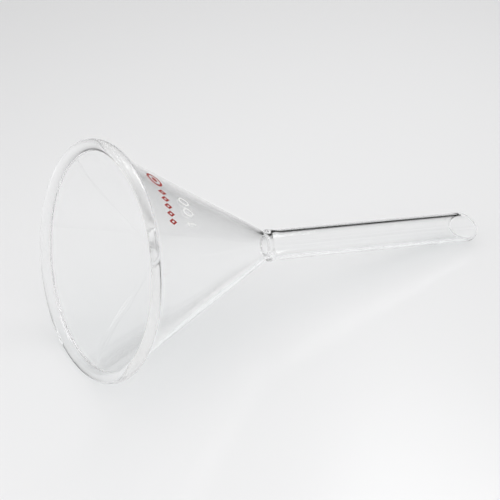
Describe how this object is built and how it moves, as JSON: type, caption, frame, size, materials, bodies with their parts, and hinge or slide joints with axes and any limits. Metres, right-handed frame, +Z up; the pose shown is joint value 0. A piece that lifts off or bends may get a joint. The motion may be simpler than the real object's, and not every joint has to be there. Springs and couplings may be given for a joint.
{
  "type": "laboratory filter funnel",
  "caption": "Clear glass laboratory funnel: cone bowl with a rolled rim, straight stem with a slanted ground tip, fired size numerals and a plain red mark, lying on its side.",
  "frame": {"origin": "middle of the footprint, on the surface that the funnel lies on", "axes": "+Z up; +X from the mouth towards the stem tip, along the funnel's axis seen from above; the axis itself falls 13.6 degrees towards +X; the stem is longer on its -Y side"},
  "size_m": [0.1928, 0.1, 0.0974],
  "materials": {
    "clear_glass": "clear fire-polished borosilicate glass, tip face finely ground",
    "pale_enamel": "thin fired white enamel, slightly see-through",
    "red_enamel": "thin fired dark red enamel, satin"
  },
  "bodies": {
    "root": {"rim_bead": "clear_glass", "bowl": "clear_glass", "throat_seal": "clear_glass", "stem": "clear_glass", "digit_one": "pale_enamel", "digit_zero_middle": "pale_enamel", "digit_zero_last": "pale_enamel", "red_lozenge_1": "red_enamel", "red_lozenge_2": "red_enamel", "red_lozenge_3": "red_enamel", "red_lozenge_4": "red_enamel", "red_lozenge_5": "red_enamel", "red_ring": "red_enamel", "red_dot": "red_enamel"}
  },
  "joints": []
}
